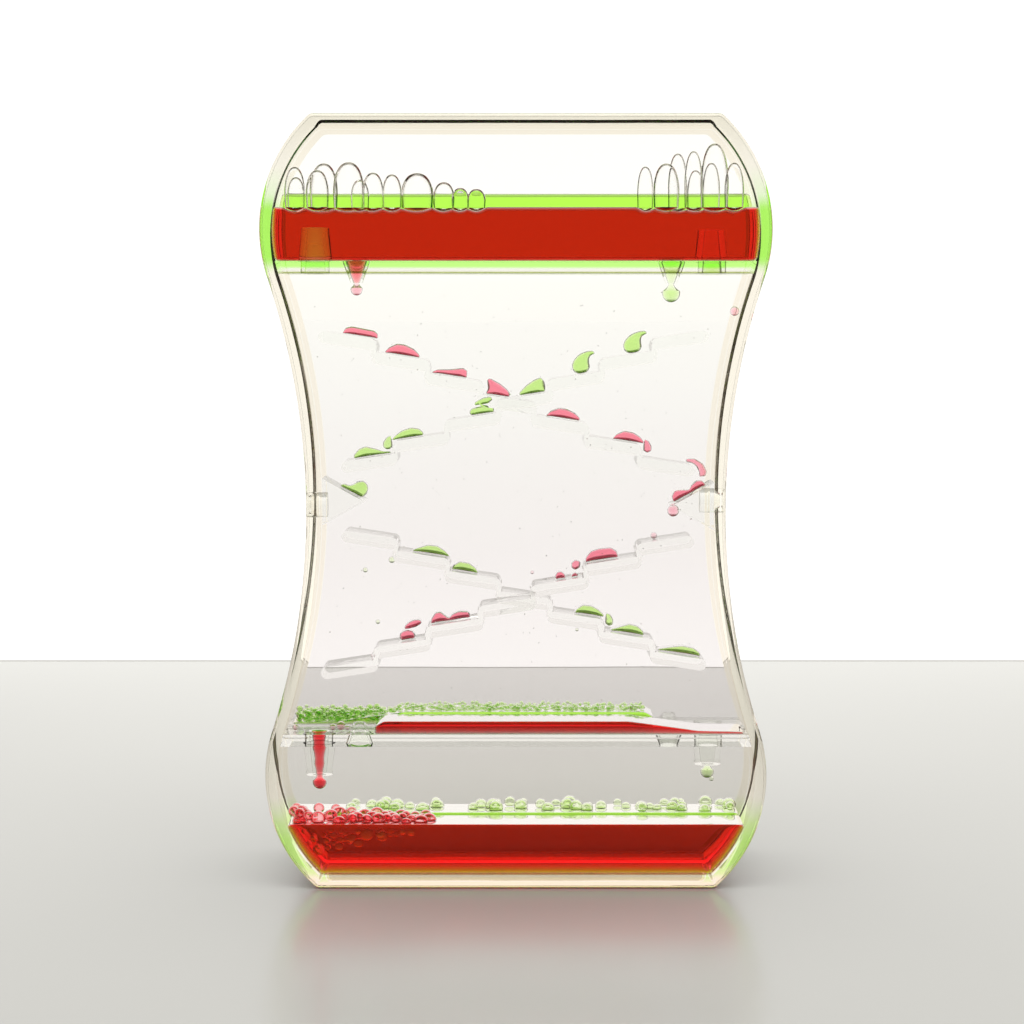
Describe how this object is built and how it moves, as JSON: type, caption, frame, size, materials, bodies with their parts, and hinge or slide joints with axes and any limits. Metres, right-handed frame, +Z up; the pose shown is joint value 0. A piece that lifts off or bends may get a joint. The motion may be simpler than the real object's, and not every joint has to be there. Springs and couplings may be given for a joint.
{
  "type": "liquid motion timer",
  "caption": "Clear hourglass-sided desk timer in which red and green drops run down opposite flights of steps through clear oil between reservoirs.",
  "frame": {"origin": "middle of the flat base, on the surface it stands on", "axes": "+Z up, the timer's height; +X to the right in front view; +Y from the red front to the green rear"},
  "size_m": [0.0914, 0.03, 0.14],
  "materials": {
    "clear_case": "clear moulded polystyrene, polished",
    "clear_insert": "clear moulded polystyrene, wet with oil",
    "clear_plug": "clear glued plug",
    "clear_oil": "clear mineral oil",
    "red_liquid": "dyed water, transparent red",
    "green_liquid": "dyed water, transparent lime green"
  },
  "bodies": {
    "case": {"divider_plate": "clear_case", "front_clear_oil": "clear_oil", "front_fill_plug": "clear_plug", "front_lower_drip_nozzle": "clear_insert", "front_lower_shelf": "clear_insert", "front_lower_standpipe": "clear_insert", "front_lower_steps": "clear_insert", "front_shell": "clear_case", "front_turn_ledge": "clear_insert", "front_upper_drip_nozzle": "clear_insert", "front_upper_shelf": "clear_insert", "front_upper_standpipe": "clear_insert", "front_upper_steps": "clear_insert", "green_lower_pool": "green_liquid", "green_shelf_pool": "green_liquid", "green_upper_pool": "green_liquid", "rear_clear_oil": "clear_oil", "rear_fill_plug": "clear_plug", "rear_lower_drip_nozzle": "clear_insert", "rear_lower_shelf": "clear_insert", "rear_lower_standpipe": "clear_insert", "rear_lower_steps": "clear_insert", "rear_shell": "clear_case", "rear_turn_ledge": "clear_insert", "rear_upper_drip_nozzle": "clear_insert", "rear_upper_shelf": "clear_insert", "rear_upper_standpipe": "clear_insert", "rear_upper_steps": "clear_insert", "red_drain_thread": "red_liquid", "red_lower_pool": "red_liquid", "red_shelf_pool": "red_liquid", "red_upper_pool": "red_liquid"},
    "green_drain_bead": {"green_drain_bead": "green_liquid"},
    "green_lower_drop_1": {"green_lower_drop_1": "green_liquid"},
    "green_lower_drop_2": {"green_lower_drop_2": "green_liquid"},
    "green_lower_drop_3": {"green_lower_drop_3": "green_liquid"},
    "green_lower_drop_4": {"green_lower_drop_4": "green_liquid"},
    "green_lower_drop_5": {"green_lower_drop_5": "green_liquid"},
    "green_nozzle_bead": {"green_nozzle_bead": "green_liquid"},
    "green_turn_drop": {"green_turn_drop": "green_liquid"},
    "green_upper_drop_1": {"green_upper_drop_1": "green_liquid"},
    "green_upper_drop_2": {"green_upper_drop_2": "green_liquid"},
    "green_upper_drop_3": {"green_upper_drop_3": "green_liquid"},
    "green_upper_drop_4": {"green_upper_drop_4": "green_liquid"},
    "green_upper_drop_5": {"green_upper_drop_5": "green_liquid"},
    "green_upper_drop_6": {"green_upper_drop_6": "green_liquid"},
    "red_drain_bead": {"red_drain_bead": "red_liquid"},
    "red_lower_drop_1": {"red_lower_drop_1": "red_liquid"},
    "red_lower_drop_2": {"red_lower_drop_2": "red_liquid"},
    "red_lower_drop_3": {"red_lower_drop_3": "red_liquid"},
    "red_lower_drop_4": {"red_lower_drop_4": "red_liquid"},
    "red_nozzle_bead": {"red_nozzle_bead": "red_liquid"},
    "red_turn_drop": {"red_turn_drop": "red_liquid"},
    "red_upper_drop_1": {"red_upper_drop_1": "red_liquid"},
    "red_upper_drop_2": {"red_upper_drop_2": "red_liquid"},
    "red_upper_drop_3": {"red_upper_drop_3": "red_liquid"},
    "red_upper_drop_4": {"red_upper_drop_4": "red_liquid"},
    "red_upper_drop_5": {"red_upper_drop_5": "red_liquid"},
    "red_upper_drop_6": {"red_upper_drop_6": "red_liquid"}
  },
  "joints": [
    {"name": "green_drain_bead_fall", "type": "slide", "parent": "case", "child": "green_drain_bead", "axis": [0, 0, -1], "range_m": [0, 0.00559]},
    {"name": "green_lower_drop_1_run", "type": "slide", "parent": "case", "child": "green_lower_drop_1", "axis": [0.9882, 0, -0.153], "range_m": [-0.00238, 0.00044]},
    {"name": "green_lower_drop_2_run", "type": "slide", "parent": "case", "child": "green_lower_drop_2", "axis": [0.9882, 0, -0.153], "range_m": [0, 0.00474]},
    {"name": "green_lower_drop_3_run", "type": "slide", "parent": "case", "child": "green_lower_drop_3", "axis": [0.9882, 0, -0.153], "range_m": [-0.00398, 0.00024]},
    {"name": "green_lower_drop_4_run", "type": "slide", "parent": "case", "child": "green_lower_drop_4", "axis": [0.9882, 0, -0.153], "range_m": [-0.00118, 0.00224]},
    {"name": "green_lower_drop_5_run", "type": "slide", "parent": "case", "child": "green_lower_drop_5", "axis": [0.9882, 0, -0.153], "range_m": [-0.00048, 0.00114]},
    {"name": "green_nozzle_bead_fall", "type": "slide", "parent": "case", "child": "green_nozzle_bead", "axis": [0, 0, -1], "range_m": [0, 0.00574]},
    {"name": "green_turn_drop_run", "type": "slide", "parent": "case", "child": "green_turn_drop", "axis": [0.8746, 0, -0.4848], "range_m": [-0.00189, 0.00095]},
    {"name": "green_upper_drop_1_run", "type": "slide", "parent": "case", "child": "green_upper_drop_1", "axis": [-0.9882, 0, -0.153], "range_m": [0, 0.00514]},
    {"name": "green_upper_drop_2_run", "type": "slide", "parent": "case", "child": "green_upper_drop_2", "axis": [-0.9882, 0, -0.153], "range_m": [0, 0.00514]},
    {"name": "green_upper_drop_3_run", "type": "slide", "parent": "case", "child": "green_upper_drop_3", "axis": [-0.9882, 0, -0.153], "range_m": [0, 0.00474]},
    {"name": "green_upper_drop_4_run", "type": "slide", "parent": "case", "child": "green_upper_drop_4", "axis": [-0.9882, 0, -0.153], "range_m": [0, 0.00504]},
    {"name": "green_upper_drop_5_run", "type": "slide", "parent": "case", "child": "green_upper_drop_5", "axis": [-0.9882, 0, -0.153], "range_m": [-0.00378, 0]},
    {"name": "green_upper_drop_6_run", "type": "slide", "parent": "case", "child": "green_upper_drop_6", "axis": [-0.9882, 0, -0.153], "range_m": [-0.00038, 0.00264]},
    {"name": "red_drain_bead_fall", "type": "slide", "parent": "case", "child": "red_drain_bead", "axis": [0, 0, -1], "range_m": [0, 0.00559]},
    {"name": "red_lower_drop_1_run", "type": "slide", "parent": "case", "child": "red_lower_drop_1", "axis": [-0.9882, 0, -0.153], "range_m": [-0.00308, 0.00074]},
    {"name": "red_lower_drop_2_run", "type": "slide", "parent": "case", "child": "red_lower_drop_2", "axis": [-0.9882, 0, -0.153], "range_m": [-0.00018, 0.00484]},
    {"name": "red_lower_drop_3_run", "type": "slide", "parent": "case", "child": "red_lower_drop_3", "axis": [-0.9882, 0, -0.153], "range_m": [-0.00138, 0.00124]},
    {"name": "red_lower_drop_4_run", "type": "slide", "parent": "case", "child": "red_lower_drop_4", "axis": [-0.9882, 0, -0.153], "range_m": [0, 0.00514]},
    {"name": "red_nozzle_bead_fall", "type": "slide", "parent": "case", "child": "red_nozzle_bead", "axis": [0, 0, -1], "range_m": [0, 0.00503]},
    {"name": "red_turn_drop_run", "type": "slide", "parent": "case", "child": "red_turn_drop", "axis": [-0.8746, 0, -0.4848], "range_m": [0, 0.00125]},
    {"name": "red_upper_drop_1_run", "type": "slide", "parent": "case", "child": "red_upper_drop_1", "axis": [0.9882, 0, -0.153], "range_m": [-0.00404, 0.00024]},
    {"name": "red_upper_drop_2_run", "type": "slide", "parent": "case", "child": "red_upper_drop_2", "axis": [0.9882, 0, -0.153], "range_m": [-0.00128, 0.00234]},
    {"name": "red_upper_drop_3_run", "type": "slide", "parent": "case", "child": "red_upper_drop_3", "axis": [0.9882, 0, -0.153], "range_m": [0, 0.00334]},
    {"name": "red_upper_drop_4_run", "type": "slide", "parent": "case", "child": "red_upper_drop_4", "axis": [0.9882, 0, -0.153], "range_m": [0, 0.00534]},
    {"name": "red_upper_drop_5_run", "type": "slide", "parent": "case", "child": "red_upper_drop_5", "axis": [0.9882, 0, -0.153], "range_m": [-0.00178, 0.00204]},
    {"name": "red_upper_drop_6_run", "type": "slide", "parent": "case", "child": "red_upper_drop_6", "axis": [0.9882, 0, -0.153], "range_m": [-0.00418, 0]}
  ]
}
